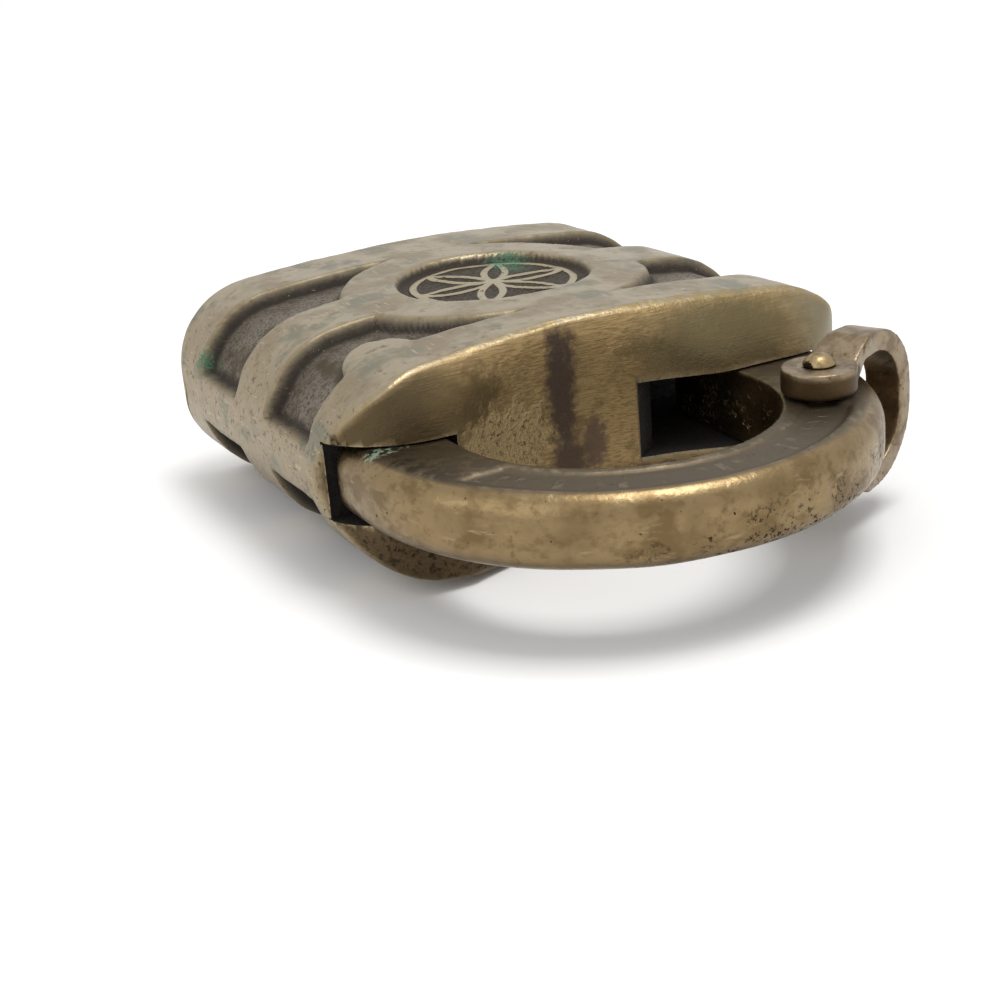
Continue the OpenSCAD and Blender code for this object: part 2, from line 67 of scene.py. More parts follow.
def soft_lamp(name, place, size, watts):
    lamp = bpy.data.lights.new(name, "AREA")
    lamp.size = size
    lamp.energy = watts
    obj = bpy.data.objects.new(name, lamp)
    bpy.context.scene.collection.objects.link(obj)
    obj.location = place
    obj.rotation_euler = (LOCK_MIDDLE - Vector(place)).to_track_quat("-Z", "Y").to_euler()


soft_lamp("top_softbox", (0.10, -0.10, 0.64), 0.3, 2.2)
soft_lamp("left_softbox", (-0.50, -0.10, 0.36), 0.5, 0.6)

room = bpy.data.worlds.new("white_room")
bpy.context.scene.world = room
room.use_nodes = True
tree = room.node_tree
lit = tree.nodes["Background"]
lit.inputs["Color"].default_value = WHITE
lit.inputs["Strength"].default_value = 0.70
seen = tree.nodes.new("ShaderNodeBackground")
seen.inputs["Color"].default_value = WHITE
path = tree.nodes.new("ShaderNodeLightPath")
swap = tree.nodes.new("ShaderNodeMixShader")
for ray in ("Is Camera Ray", "Is Glossy Ray", "Is Transmission Ray"):
    either = tree.nodes.new("ShaderNodeMath")
    tree.links.new(path.outputs[ray], either.inputs[0])
    either.inputs[1].default_value = 0.0
    if swap.inputs[0].is_linked:
        tree.links.new(swap.inputs[0].links[0].from_socket, either.inputs[1])
    tree.links.new(either.outputs[0], swap.inputs[0])
tree.links.new(lit.outputs[0], swap.inputs[1])
tree.links.new(seen.outputs[0], swap.inputs[2])
tree.links.new(swap.outputs[0], tree.nodes["World Output"].inputs["Surface"])

half_card = 1.2
card_corners = [(x * half_card, y * half_card, 0) for x, y in ((-1, -1), (1, -1), (1, 1), (-1, 1))]
table_mesh = bpy.data.meshes.new("table")
table_mesh.from_pydata(card_corners, [], [(0, 1, 2, 3)])
table = bpy.data.objects.new("table", table_mesh)
bpy.context.scene.collection.objects.link(table)
card = bpy.data.materials.new("white_card")
card.use_nodes = True
tree = card.node_tree
card_look = tree.nodes["Principled BSDF"].inputs
card_look["Base Color"].default_value = (0.97, 0.97, 0.965, 1)
card_look["Roughness"].default_value = 0.9
card_look["Emission Color"].default_value = WHITE
spot_on = tree.nodes.new("ShaderNodeNewGeometry")
away = tree.nodes.new("ShaderNodeVectorMath")
away.operation = "LENGTH"
glow = tree.nodes.new("ShaderNodeMapRange")
for socket, value in (("From Min", 0.10), ("From Max", 0.50), ("To Min", 0.0), ("To Max", 0.34)):
    glow.inputs[socket].default_value = value
tree.links.new(spot_on.outputs["Position"], away.inputs[0])
tree.links.new(away.outputs["Value"], glow.inputs["Value"])
tree.links.new(glow.outputs["Result"], card_look["Emission Strength"])
table.data.materials.append(card)

# The case.
# A heavy brass casting, crowned front and back, with a plain belt and recessed panels round its sides
# and a medallion on each face. It is cast in one block and its upper end is filed to a shallow saddle.
half_w, half_t, side_r = 35.0, 13.75, 12.5
rest_flat = 13.65
case_len = 56.2
medallion_y, rim_r, disc_r, disc_floor = 27.8, 19.6, 12.5, 12.25
panel_rows = ((9.25, 22.55), (33.05, 46.35))
panel_depth, belt_half = 1.8, 3.4
swell_x, swell_y, swell_r = -24.5, 9.25, 4.6
shoulder_r, left_rise, right_rise = 11.8, 2.1, 4.0
saddle_x, saddle_y, saddle_r = -5.1, -37.8, 38.8
end_round, end_start = 19.4, -4.1     # the filed end is also rounded from front to back
highest = -4.2                        # the farthest that its shoulders reach past the top line
corner_r = 4.0
petal_r, line_half, line_high = 10.3, 0.45, 0.4
face_z = 6.0                          # beyond this depth a point lies on a face and not on the belt
coarse_cell, cut_near = 0.46, 0.22    # the mesh's cells, and how near a row moves onto an outline

arc_x = half_w - side_r
crown_r = (arc_x ** 2 + half_t ** 2 - side_r ** 2) / (2 * (half_t - side_r))
crown_drop = crown_r - half_t
side_turn = math.atan2(crown_drop, arc_x)
crown_run = crown_r * (math.pi / 2 - side_turn)


def spaced(start, end, coarse, fine, marks, reach):
    """Places from start to end, closer together near the marks."""
    run = np.linspace(start, end, 6001)
    density = np.full_like(run, 1 / coarse)
    for mark in marks:
        density += (1 / fine - 1 / coarse) * np.exp(-((run - mark) / reach) ** 2)
    total = np.concatenate([[0], np.cumsum((density[1:] + density[:-1]) / 2 * np.diff(run))])
    return np.interp(np.linspace(0, total[-1], int(round(total[-1])) + 1), total, run)


def rise(value, low, high):
    """0 below low, 1 above high and a smooth step between."""
    t = np.clip((value - low) / (high - low), 0, 1)
    return t * t * (3 - 2 * t)


def upper_edge(x, z):
    """Where the filed upper end lies over a point of the section."""
    ax = np.abs(x)
    lift = np.where(x > 0, right_rise, left_rise)
    over = np.maximum(ax - half_w + shoulder_r, 0)
    plan = shoulder_r - lift - np.sqrt(np.maximum(shoulder_r ** 2 - over ** 2, 0))
    dip = saddle_r ** 2 - (x - saddle_x) ** 2
    plan = np.maximum(plan, np.where(dip > 0, saddle_y + np.sqrt(np.maximum(dip, 0)), -99))
    barrel = end_start + end_round - np.sqrt(np.maximum(end_round ** 2 - np.maximum(z, 0) ** 2, 0))
    soft = 0.5
    return soft * np.logaddexp(plan / soft, barrel / soft)


def lower_edge(x, z):
    """Where the flat lower end lies, with its rounded corners; the same at every depth."""
    over = np.maximum(np.abs(x) - half_w + corner_r, 0)
    return case_len - corner_r + np.sqrt(np.maximum(corner_r ** 2 - over ** 2, 0)) + 0 * z


def lumps(x, y, z, size, seed):
    """Slow uneven waves, as hand filing and casting leave them."""
    rng = np.random.default_rng(seed)
    total = np.zeros(np.shape(x))
    for _ in range(14):
        k = rng.normal(size=3) / size
        total += np.sin(k[0] * x + k[1] * y + k[2] * z + rng.uniform(0, 2 * math.pi))
    return total / 3.7


def into_panel(x, y, z):
    """How far a point of the skin lies inside the nearest panel's outline."""
    inside = np.full(np.shape(x), -99.0)
    for low, high in panel_rows:
        inside = np.maximum(inside, np.minimum(y - low, high - y))
    inside = np.minimum(inside, np.abs(z) - belt_half)
    inside = np.minimum(inside, np.hypot(x, y - medallion_y) - rim_r)
    inside = np.minimum(inside, np.hypot(x - swell_x, y - swell_y) - swell_r)
    return inside + 0.12 * lumps(x, y, z, 1.6, 3)


def ornament(x, y):
    """Distance from the lines of a six-petalled rosette in a ring."""
    px, py = x, y - medallion_y
    ring = np.hypot(px, py)
    near = np.abs(ring - petal_r)
    for i in range(6):
        a = math.pi / 3 * i
        arc = np.abs(np.hypot(px - petal_r * math.cos(a), py - petal_r * math.sin(a)) - petal_r)
        near = np.minimum(near, np.where(ring < petal_r, arc, 99))
    return near


quarter_run = crown_run + side_r * side_turn
belt_mark = quarter_run - side_r * math.asin(belt_half / side_r)
q = spaced(0, quarter_run, coarse_cell, 0.26, (belt_mark, disc_r), 0.8)
on_crown = q < crown_run
a = q / crown_r
b = side_turn - (q - crown_run) / side_r
qx = np.where(on_crown, crown_r * np.sin(a), arc_x + side_r * np.cos(b))
qz = np.where(on_crown, crown_r * np.cos(a) - crown_drop, side_r * np.sin(b))
qnx, qnz = np.where(on_crown, np.sin(a), np.cos(b)), np.where(on_crown, np.cos(a), np.sin(b))
qx[-1], qz[-1] = half_w, 0.0
n = len(q) - 1
loop_x = np.concatenate([qx, qx[-2::-1], -qx[1:], -qx[-2:0:-1]])
loop_z = np.concatenate([qz, -qz[-2::-1], -qz[1:], qz[-2:0:-1]])
loop_nx = np.concatenate([qnx, qnx[-2::-1], -qnx[1:], -qnx[-2:0:-1]])
loop_nz = np.concatenate([qnz, -qnz[-2::-1], -qnz[1:], qnz[-2:0:-1]])
columns = len(loop_x)

marks = [m for row in panel_rows for m in row]
rows_y = spaced(highest, case_len, coarse_cell, 0.24, marks + [highest, case_len], 0.9)
top_y = upper_edge(loop_x, loop_z)
low_y = lower_edge(loop_x, loop_z)
Y = np.repeat(rows_y[:, None], columns, 1)
head_end, tail_start = 15.0, 49.0
Y = np.where(Y < head_end, top_y + (Y - highest) * (head_end - top_y) / (head_end - highest), Y)
Y = np.where(Y > tail_start, low_y - (case_len - Y) * (low_y - tail_start) / (case_len - tail_start), Y)
X, Z = np.repeat(loop_x[None], len(rows_y), 0), np.repeat(loop_z[None], len(rows_y), 0)
NX, NZ = np.repeat(loop_nx[None], len(rows_y), 0), np.repeat(loop_nz[None], len(rows_y), 0)
col = np.arange(columns)
targets = [np.full(columns, mark) for mark in marks]
for circle in (rim_r, disc_r):
    reach = circle ** 2 - loop_x ** 2
    half = np.where((reach > 0.5) & (np.abs(loop_z) > face_z), np.sqrt(np.maximum(reach, 0)), 999)
    targets += [medallion_y - half, medallion_y + half]
for target in targets:
    row = np.abs(Y - target).argmin(0)
    close = np.abs(Y[row, col] - target) < cut_near
    Y[row[close], col[close]] = target[close]

inside = into_panel(X, Y, Z)
depth = panel_depth * (0.35 * rise(inside, -0.15, 0.3) + 0.65 * rise(inside, 0.05, 0.75))
depth += 0.07 * rise(inside, 0.5, 1.5) * lumps(X, Y, Z, 1.1, 5)
ring = np.hypot(X, Y - medallion_y)
on_face = np.abs(Z) > face_z
lines = ornament(X, Y)
raised = line_high * (1 - rise(lines, line_half * 0.6, line_half + 0.35)) * (ring < petal_r + line_half + 0.6)
in_disc = rise(disc_r - ring, -0.1, 0.5) * on_face
depth = np.where(on_face & (ring < disc_r + 0.5), in_disc * (np.abs(Z) - disc_floor - raised), depth)
depth += 0.05 * lumps(X, Y, Z, 3.0, 7) + 0.03 * lumps(X, Y, Z, 0.9, 8) + 0.06
from_top, from_low = Y - top_y, low_y - Y
round_r = 0.7 + 0.25 * lumps(X, 0 * Y, Z, 3.5, 11)
worn = rise(inside, -0.8, -0.1) * (inside < 0.05)
worn = worn + rise(disc_r + 0.9 - ring, 0, 0.9) * (ring > disc_r) * on_face
for gone, edge_y, way in ((from_top, top_y, 1), (from_low, low_y, -1)):
    turn = np.clip(1 - gone / round_r, 0, 1) * math.pi / 4
    near = gone < round_r
    depth = depth + np.where(near, round_r * (1 - np.cos(turn)), 0)
    worn = np.maximum(worn, 1 - rise(gone, 0.3, 1.1))
    Y = np.where(near, edge_y + way * round_r * (1 - np.sin(turn)), Y)
skin_x, skin_z = X - depth * NX, np.clip(Z - depth * NZ, -rest_flat, rest_flat)


def end_cap(edge, way):
    """Strips from the front edge to the back edge that close one end of the case."""
    k = spaced(0, 1, 0.05, 0.012, (0, 1), 0.04)[1:-1]
    places = np.concatenate([-qx[:0:-1], qx])
    front = np.concatenate([qz[:0:-1], qz])
    x = np.repeat(places[1:-1, None], len(k), 1)
    z = front[1:-1, None] * (1 - 2 * k[None])
    ax = np.maximum(np.abs(x) - arc_x, 0)
    deep = np.where(np.arctan2(np.abs(z), np.maximum(np.abs(x) - arc_x, 1e-9)) < side_turn,
                    side_r - np.hypot(ax, z), crown_r - np.hypot(x, np.abs(z) + crown_drop))
    r = 0.7 + 0.25 * lumps(x, 0 * x, z, 3.5, 11)
    turn = np.clip(1 - deep / r, 0, 1) * math.pi / 4
    y = edge(x, z) + way * np.where(deep < r, r * (1 - np.cos(turn)), 0)
    y = y + way * (0.05 * lumps(x, y, z, 2.5, 13) + 0.02 * lumps(x, y, z, 0.8, 17)) * rise(deep, 0, 1.5)
    y = np.minimum(y, case_len - 0.03)
    return x, y, z, rise(deep, 0.1, 0.9)


grid = [np.stack([skin_x, Y, skin_z], -1).reshape(-1, 3)]
shut = np.where(on_face & (ring < disc_r + 0.5), 0, 1)
look = {"recess": [rise(inside, 0.1, 0.6) * shut],
        "wall": [np.exp(-((inside - 0.65) / 0.7) ** 2) * shut],
        "disc": [in_disc * (ring < disc_r + 0.5)],
        "filed": [0 * X],
        "worn": [worn]}
index = np.arange(len(rows_y) * columns).reshape(len(rows_y), columns)
beside = np.roll(index, -1, 1)
faces = [np.stack([index[:-1], beside[:-1], beside[1:], index[1:]], -1).reshape(-1, 4)]
front_cols = np.concatenate([np.arange(3 * n + 1, columns), np.arange(0, n)])
front_cols = front_cols[np.argsort(loop_x[front_cols])]
back_cols = np.array([2 * n - c if c <= n else 3 * n - (c - 3 * n) for c in front_cols])
left_col, right_col = 3 * n, n
offset = len(grid[0])
for edge, way, row in ((upper_edge, 1, 0), (lower_edge, -1, len(rows_y) - 1)):
    x, y, z, filed = end_cap(edge, way)
    grid.append(np.stack([x, y, z], -1).reshape(-1, 3))
    for key in look:
        look[key].append(filed if key == "filed" and way == 1 else 1 - filed if key == "worn" else 0 * x)
    inner = offset + np.arange(x.size).reshape(x.shape)
    strip = np.concatenate([index[row, front_cols][:, None], inner, index[row, back_cols][:, None]], 1)
    left = np.full((1, strip.shape[1]), index[row, left_col])
    right = np.full((1, strip.shape[1]), index[row, right_col])
    strip = np.concatenate([left, strip, right], 0)
    quad = np.stack([strip[:-1, :-1], strip[:-1, 1:], strip[1:, 1:], strip[1:, :-1]], -1).reshape(-1, 4)
    faces.append(quad if way == 1 else quad[:, ::-1])
    offset += x.size
points = np.concatenate(grid)
polygons = [tuple(dict.fromkeys(f)) for f in np.concatenate(faces).tolist()]
polygons = [f for f in polygons if len(f) > 2]


def add_piece(name, points, polygons):
    """A new mesh, given in millimetres from the middle of the top line."""
    mesh = bpy.data.meshes.new(name)
    mesh.from_pydata([(x * MM, (y - TOP_LINE) * MM, (z + MID_PLANE) * MM) for x, y, z in points], [], polygons)
    mesh.validate()
    solid = bmesh.new()
    solid.from_mesh(mesh)
    if solid.calc_volume(signed=True) < 0:
        mesh.flip_normals()
    solid.free()
    obj = bpy.data.objects.new(name, mesh)
    bpy.context.scene.collection.objects.link(obj)
    return obj


case = add_piece("cast_case", points.tolist(), polygons)
for key, parts in look.items():
    values = np.concatenate([p.reshape(-1) for p in parts]).astype("float32")
    case.data.attributes.new(key, "FLOAT", "POINT").data.foreach_set("value", values)


def prism(name, outline, low, high):
    """A straight cutter, drawn in plan and carried from one depth to another."""
    count = len(outline)
    points = [(x, y, z) for z in (low, high) for x, y in outline]
    sides = [(i, (i + 1) % count, (i + 1) % count + count, i + count) for i in range(count)]
    return add_piece(name, points, [tuple(range(count))[::-1], tuple(range(count, 2 * count))] + sides)


def arc_plan(x, y, r, start, end, steps):
    """Points along an arc, from one angle to another."""
    turns = np.radians(np.linspace(start, end, steps))
    return [(x + r * math.cos(t), y + r * math.sin(t)) for t in turns]


def apply_all(obj):
    """Turns an object's modifiers into its mesh."""
    ready = obj.evaluated_get(bpy.context.evaluated_depsgraph_get())
    mesh = bpy.data.meshes.new_from_object(ready)
    obj.modifiers.clear()
    obj.data = mesh


slot_z = 4.6
toe_out, toe_in, toe_floor = -34.1, -21.24, 14.5
toe_step_x, toe_step_y = -31.2, 6.0
hinge_x, hinge_y, hinge_floor, pin_hole_r = 21.0, 9.0, 17.6, 2.52
mouth_x = 3.4
work_half, work_y, past_end = 21.0, 21.6, 57.5
bolt_left, bolt_right, bolt_low, lever_low, work_back = -18.0, 4.5, 4.9, 9.3, 30.0
keyhole_r, key_slit, key_end = 2.2, 1.0, 31.8
seat_y, seat_in, seat_x = 54.4, 2.6, 26.9


def box_plan(x_from, x_to, y_from, y_to):
    """The corners of an upright oblong."""
    return [(x_from, y_from), (x_to, y_from), (x_to, y_to), (x_from, y_to)]


cutters = [
    prism("toe_slot", [(toe_in, -6), (toe_in, toe_floor), (toe_step_x, toe_floor), (toe_step_x, toe_step_y),
                       (toe_out, toe_step_y), (toe_out, -6)], -slot_z, slot_z),
    prism("hinge_slot", [(36, -9), (36, hinge_floor), (14, hinge_floor), (10.5, 13.6), (8.9, 7), (6.4, 2),
                         (mouth_x, 0), (mouth_x, -9)], -slot_z, slot_z),
    prism("room", box_plan(-work_half, work_half, work_y, past_end), -8.2, 8.2),
    prism("bolt_room", box_plan(bolt_left, bolt_right, bolt_low, work_back), -3.2, 7.0),
    prism("lever_room", box_plan(bolt_left, bolt_right, lever_low, work_back), -7.0, 6.9),
    prism("nose_way", box_plan(-22, -17, 5.0, 9.4), -3.1, 3.1),
    prism("pin_hole", arc_plan(hinge_x, hinge_y, pin_hole_r, 0, 352.5, 48), -15, 9),
    prism("keyhole", [(key_slit, 30), (key_slit, key_end), (-key_slit, key_end), (-key_slit, 30)]
          + arc_plan(0, medallion_y, keyhole_r, 117, 423, 40), -15, -7.2),
]
inset_r, inset_top = side_r - seat_in, crown_r - seat_in
rim = [(x, math.sqrt(inset_top ** 2 - x ** 2) - crown_drop) for x in np.linspace(-22, 22, 45)]
turns = np.linspace(side_turn - 0.02, 0.02, 20)
corner = [(arc_x + inset_r * math.cos(t), inset_r * math.sin(t)) for t in turns]
corner = [p for p in corner if p[0] < seat_x]
corner.append((seat_x, math.sqrt(inset_r ** 2 - (seat_x - arc_x) ** 2)))
upper = [(-x, z) for x, z in corner[::-1]] + rim + corner
plug = upper + [(x, -z) for x, z in upper[::-1]]
count = len(plug)
cutters.append(add_piece("plate_seat", [(x, y, z) for y in (seat_y, past_end) for x, z in plug],
                         [tuple(range(count)), tuple(range(count, 2 * count))[::-1]]
                         + [(i, i + count, (i + 1) % count + count, (i + 1) % count) for i in range(count)]))
skin_metal, cavity_metal = bpy.data.materials.new("case_skin"), bpy.data.materials.new("cavity_wall")
case.data.materials.append(skin_metal)
case.data.materials.append(cavity_metal)
relax = case.modifiers.new("relax", "SMOOTH")
relax.factor, relax.iterations = 0.5, 4
for cutter in cutters:
    cutter.data.materials.append(skin_metal)
    cutter.data.materials.append(cavity_metal)
    for face in cutter.data.polygons:
        face.material_index = 1
    cut = case.modifiers.new(cutter.name, "BOOLEAN")
    cut.operation, cut.solver, cut.object = "DIFFERENCE", "MANIFOLD", cutter
apply_all(case)
for cutter in cutters:
    bpy.data.objects.remove(cutter)
for face in case.data.polygons:
    face.use_smooth = face.material_index == 0
case.data.set_sharp_from_angle(angle=math.radians(58))


# The surface of the case.
# Brass that has lain in the damp: pale and satin where hands rub it, tan with dark pits on the belt,
# grey and grainy in the panels, brown in their corners, with a little green in the deepest places.


def tone(r, g, b):
    """A colour by its usual 0 to 255 numbers."""
    parts = [v / 255 for v in (r, g, b)]
    return tuple(v / 12.92 if v < 11 / 255 else ((v + 0.055) / 1.055) ** 2.4 for v in parts) + (1.0,)


class Surface:
    """A metal's surface, laid up in coats from the bare metal outward. Sizes are in millimetres."""

    def __init__(self, material, colour, rough, metal=1.0):
        material.use_nodes = True
        self.material, self.tree = material, material.node_tree
        self.shader = self.tree.nodes["Principled BSDF"]
        self.colour, self.rough, self.metal, self.height = tone(*colour), rough, metal, None
        here = self.tree.nodes.new("ShaderNodeTexCoord").outputs["Object"]
        to_mm = self.node("ShaderNodeVectorMath", operation="SCALE")
        to_mm.inputs["Scale"].default_value = 1000
        self.tree.links.new(here, to_mm.inputs[0])
        shift = self.node("ShaderNodeVectorMath", operation="ADD")
        shift.inputs[1].default_value = (0, TOP_LINE, -MID_PLANE)
        self.tree.links.new(to_mm.outputs[0], shift.inputs[0])
        self.place = shift.outputs[0]

    def node(self, kind, **settings):
        made = self.tree.nodes.new(kind)
        for key, value in settings.items():
            setattr(made, key, value)
        return made

    def put(self, socket, value):
        if isinstance(value, bpy.types.NodeSocket):
            self.tree.links.new(value, socket)
        else:
            socket.default_value = value

    def calc(self, operation, a, b=0.0):
        made = self.node("ShaderNodeMath", operation=operation)
        self.put(made.inputs[0], a)
        self.put(made.inputs[1], b)
        return made.outputs[0]

    def times(self, first, *others):
        """The product of masks or values: where all the masks say."""
        for other in others:
            first = self.calc("MULTIPLY", first, other)
        return first

    def fade(self, value, low, high):
        """0 at low, 1 at high and a smooth step between."""
        made = self.node("ShaderNodeMapRange", interpolation_type="SMOOTHSTEP")
        self.put(made.inputs["Value"], value)
        made.inputs["From Min"].default_value, made.inputs["From Max"].default_value = low, high
        return made.outputs["Result"]

    def axis(self, letter):
        return self.node_out("ShaderNodeSeparateXYZ", self.place).outputs[letter]

    def node_out(self, kind, source):
        made = self.node(kind)
        self.tree.links.new(source, made.inputs[0])
        return made

    def grain(self, size, detail=3.0, harsh=0.55, stretch=(1, 1, 1), seed=0.0):
        scaled = self.node("ShaderNodeVectorMath", operation="MULTIPLY_ADD")
        self.tree.links.new(self.place, scaled.inputs[0])
        scaled.inputs[1].default_value = [1 / size / v for v in stretch]
        scaled.inputs[2].default_value = (seed, seed * 1.7, seed * 0.6)
        made = self.node_out("ShaderNodeTexNoise", scaled.outputs[0])
        made.inputs["Scale"].default_value = 1.0
        made.inputs["Detail"].default_value = detail
        made.inputs["Roughness"].default_value = harsh
        return made.outputs["Fac"]

    def patches(self, low, high, *args, **named):
        """Where the grain lies above a level."""
        return self.fade(self.grain(*args, **named), low, high)

    def part(self, name):
        """A mask carried by the mesh."""
        return self.node("ShaderNodeAttribute", attribute_name=name).outputs["Fac"]

    def spot(self, centre, radii, soft=0.6, ragged=0.5):
        """1 inside a soft ragged patch, 0 outside."""
        away = self.node("ShaderNodeVectorMath", operation="SUBTRACT")
        self.tree.links.new(self.place, away.inputs[0])
        away.inputs[1].default_value = centre
        scaled = self.node("ShaderNodeVectorMath", operation="DIVIDE")
        self.tree.links.new(away.outputs[0], scaled.inputs[0])
        scaled.inputs[1].default_value = radii
        far = self.node_out("ShaderNodeVectorMath", scaled.outputs[0])
        far.operation = "LENGTH"
        uneven = self.calc("SUBTRACT", self.grain(min(radii) * 0.5, 3.0, 0.6, seed=centre[0]), 0.5)
        edge = self.times(uneven, ragged * 2)
        return self.fade(self.calc("ADD", far.outputs["Value"], edge), 1 + soft / 2, 1 - soft / 2)

    def mix(self, mask, old, new, kind="FLOAT"):
        made = self.node("ShaderNodeMix", data_type=kind)
        self.put(made.inputs[0], mask)
        if kind == "RGBA":
            a, b = [i for i in made.inputs if i.type == "RGBA"]
        else:
            a, b = made.inputs[2], made.inputs[3]
        self.put(a, old)
        self.put(b, new)
        return [o for o in made.outputs if o.type == ("RGBA" if kind == "RGBA" else "VALUE")][0]

    def coat(self, mask, colour=None, rough=None, metal=None):
        """Lays another look over what is there, where the mask says."""
        if colour is not None:
            self.colour = self.mix(mask, self.colour, tone(*colour), "RGBA")
        if rough is not None:
            self.rough = self.mix(mask, self.rough, rough)
        if metal is not None:
            self.metal = self.mix(mask, self.metal, metal)

    def raise_by(self, value, amount):
        """Adds fine relief; amount is how high 1 stands, in millimetres."""
        step = self.calc("MULTIPLY", value, amount)
        self.height = step if self.height is None else self.calc("ADD", self.height, step)

    def finish(self):
        self.put(self.shader.inputs["Base Color"], self.colour)
        self.put(self.shader.inputs["Roughness"], self.rough)
        self.put(self.shader.inputs["Metallic"], self.metal)
        bump = self.node("ShaderNodeBump")
        bump.inputs["Distance"].default_value = MM
        self.put(bump.inputs["Height"], self.height)
        self.tree.links.new(bump.outputs[0], self.shader.inputs["Normal"])


brass = Surface(skin_metal, (158, 145, 121), 0.36)
belt = brass.fade(brass.calc("ABSOLUTE", brass.axis("Z")), 12.0, 6.0)
recess, filed = brass.part("recess"), brass.part("filed")
brass.coat(brass.patches(0.44, 0.62, 8.0, 4.0, 0.6, seed=2), (140, 126, 102), 0.44)
brass.coat(belt, (150, 135, 110), 0.40)
brass.coat(brass.patches(0.54, 0.74, 2.0, 5.0, 0.65, seed=5), (122, 106, 82), 0.48)
brass.coat(brass.patches(0.52, 0.66, 6.0, 3.0, 0.6, seed=39), (126, 122, 104), 0.44)
brass.coat(brass.times(belt, brass.patches(0.54, 0.67, 0.8, 5.0, 0.7, seed=37)), (102, 88, 66), 0.50)
scrape = brass.patches(0.62, 0.70, 0.5, 3.0, 0.6, stretch=(1, 7, 1), seed=43)
brass.coat(scrape, (164, 150, 122), 0.34)
patchy = brass.patches(0.44, 0.60, 1.0, 4.0, 0.6, seed=35)
brass.coat(brass.times(brass.part("worn"), patchy), (152, 138, 108), 0.36)
soot = brass.patches(0.66, 0.72, 0.6, 3.0, 0.7, seed=9)
brass.coat(brass.times(soot, belt), (64, 50, 34), 0.7)

# The recessed panels: grey cast grain with dirt, and rough brown walls.
grit = brass.grain(0.42, 4.0, 0.7, seed=12)
brass.coat(recess, (124, 116, 105), 0.46)
brass.coat(brass.times(recess, brass.fade(grit, 0.46, 0.62)), (84, 76, 64), 0.65)
brass.coat(brass.times(recess, brass.patches(0.48, 0.66, 5.0, 3.0, 0.6, seed=14)), (84, 74, 60), 0.6)
brass.coat(brass.times(brass.part("wall"), brass.fade(grit, 0.16, 0.36)), (40, 32, 23), 0.8, 0.4)
crumbs = brass.patches(0.68, 0.73, 0.35, 2.0, 0.6, seed=45)
brass.coat(brass.times(brass.part("wall"), crumbs), (140, 124, 94), 0.45)
sunk = brass.calc("MAXIMUM", recess, brass.part("wall"))
# Painted shade: the panels and their walls darkened almost to black on the case's lower half, towards the
# table.
painted_shade_low_panel = brass.times(sunk, brass.fade(brass.axis("Z"), -1.0, -3.0))
brass.coat(painted_shade_low_panel, (34, 28, 22), 0.85, 0.3)

# The medallion: a dark pitted ground under a thin rubbed rosette.
across, along = brass.axis("X"), brass.calc("SUBTRACT", brass.axis("Y"), medallion_y)


def circle_line(x, y):
    """Distance from a circle of the petals' size round a point."""
    far_x, far_y = brass.calc("SUBTRACT", across, x), brass.calc("SUBTRACT", along, y)
    far = brass.calc("SQRT", brass.calc("ADD", brass.times(far_x, far_x), brass.times(far_y, far_y)))
    return far, brass.calc("ABSOLUTE", brass.calc("SUBTRACT", far, petal_r))


from_hub, near = circle_line(0, 0)
within = brass.fade(from_hub, petal_r + 0.1, petal_r - 0.1)
stroke = brass.fade(near, 0.60, 0.44)
for i in range(6):
    arc = circle_line(petal_r * math.cos(math.pi / 3 * i), petal_r * math.sin(math.pi / 3 * i))[1]
    stroke = brass.calc("MAXIMUM", stroke, brass.times(within, brass.fade(arc, 0.60, 0.44)))
stroke = brass.times(stroke, brass.part("disc"))
brass.coat(brass.part("disc"), (70, 61, 48), 0.65, 0.6)
brass.coat(brass.times(brass.part("disc"), brass.fade(grit, 0.40, 0.56)), (44, 37, 28), 0.8, 0.4)
brass.coat(brass.times(brass.part("disc"), brass.fade(from_hub, 11.0, 12.2)), (44, 36, 26), 0.8, 0.4)
brass.coat(brass.times(stroke, brass.patches(0.26, 0.42, 1.4, 3.0, 0.6, seed=47)), (164, 152, 124), 0.36, 1.0)
brass.raise_by(stroke, 0.8)

# The filed end: long file strokes, darker at the left and greyer at the right as painted shade, rubbed golden
# in the middle, with stains and a worn upper edge tinted gold in part as a painted highlight.
strokes = brass.grain(0.16, 2.0, 0.6, stretch=(34, 1, 1), seed=21)
brass.coat(filed, (158, 134, 94), 0.4)
brass.coat(brass.times(filed, brass.fade(strokes, 0.42, 0.62)), (130, 109, 75), 0.46)
brass.coat(brass.times(filed, brass.patches(0.52, 0.70, 3.2, 4.0, 0.6, seed=23)), (118, 100, 70), 0.5)
# Painted shade: the filed end darkened towards its left end and greyed towards its right end.
brass.coat(brass.times(filed, brass.fade(brass.axis("X"), -15.0, -25.0)), (90, 77, 56), 0.55)
brass.coat(brass.times(filed, brass.fade(brass.axis("X"), 20.0, 30.0)), (130, 122, 100), 0.42)
brass.coat(brass.times(filed, brass.spot((14.5, 0, 8.0), (10, 9, 6), 0.9, 0.5)), (104, 92, 66), 0.46)
lower = brass.fade(brass.axis("Z"), -4.0, -7.0)
brass.coat(brass.times(filed, lower), (88, 73, 54), 0.5)
for centre, radii, colour, rough in (
        ((-19.5, 0, 7.5), (5, 6, 3.0), (100, 84, 58), 0.5), ((-6.2, 0, 6.0), (2.0, 6, 8.5), (80, 68, 58), 0.55),
        ((-2.2, 0, -1.5), (1.4, 6, 3.2), (104, 86, 72), 0.55),
        ((-5.5, 0, -3.0), (2.6, 6, 2.4), (86, 72, 60), 0.55)):
    brass.coat(brass.times(filed, brass.spot(centre, radii, 0.8, 0.7)), colour, rough)
gold = brass.times(filed, brass.spot((-15.0, 0, 1.5), (6.5, 6, 4.0), 0.7, 0.9))
crust = brass.grain(0.7, 4.0, 0.7, seed=27)
brass.coat(gold, (158, 138, 100), 0.46)
brass.coat(brass.times(gold, brass.fade(crust, 0.50, 0.66)), (96, 80, 58), 0.65)
